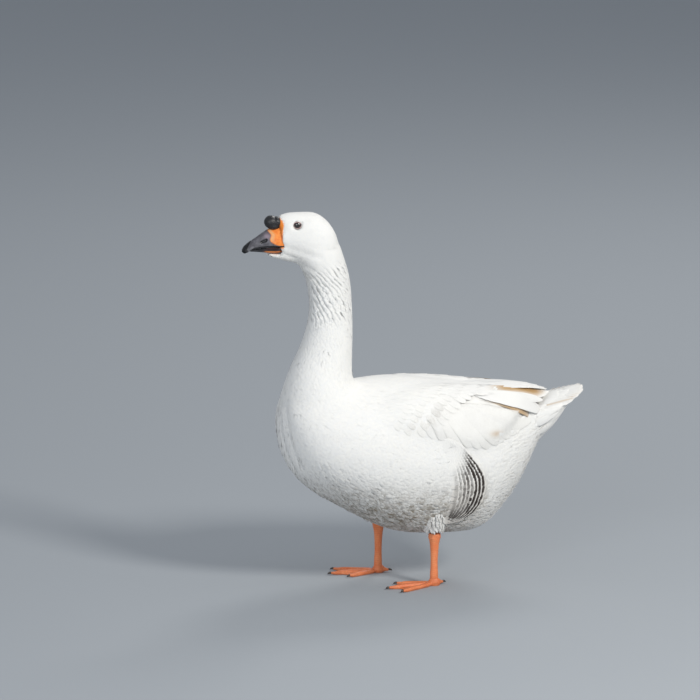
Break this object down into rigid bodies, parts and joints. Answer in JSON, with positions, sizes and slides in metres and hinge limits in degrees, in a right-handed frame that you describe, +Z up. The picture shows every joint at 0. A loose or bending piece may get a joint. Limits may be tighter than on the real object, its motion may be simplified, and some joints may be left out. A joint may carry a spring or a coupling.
{
  "type": "domestic goose",
  "caption": "Life-size still model of a white domestic goose with a dark knobbed bill, standing on both webbed feet, wings folded.",
  "frame": {"origin": "on the floor under the middle of the bird's outline", "axes": "+Z up, the bird faces -Y, its left side is towards +X"},
  "size_m": [0.2382, 0.6078, 0.649],
  "materials": {
    "plumage": "soft matt feathers",
    "bill": "satin horn",
    "knob": "glossy horn",
    "eye": "wet gloss",
    "leg": "scaled satin skin",
    "claw": "satin horn"
  },
  "bodies": {
    "root": {"bill_lower": "bill", "bill_upper": "bill", "claw_left_hind": "claw", "claw_left_inner": "claw", "claw_left_middle": "claw", "claw_left_outer": "claw", "claw_right_hind": "claw", "claw_right_inner": "claw", "claw_right_middle": "claw", "claw_right_outer": "claw", "eye_left": "eye", "eye_right": "eye", "foot_left": "leg", "foot_right": "leg", "head": "plumage", "knob": "plumage", "neck_lower": "plumage", "neck_upper": "plumage", "quills_left": "plumage", "quills_right": "plumage", "shank_left": "leg", "shank_right": "leg", "tail": "plumage", "thigh_left": "plumage", "thigh_right": "plumage", "trunk": "plumage", "wing_left": "plumage", "wing_right": "plumage"}
  },
  "joints": []
}
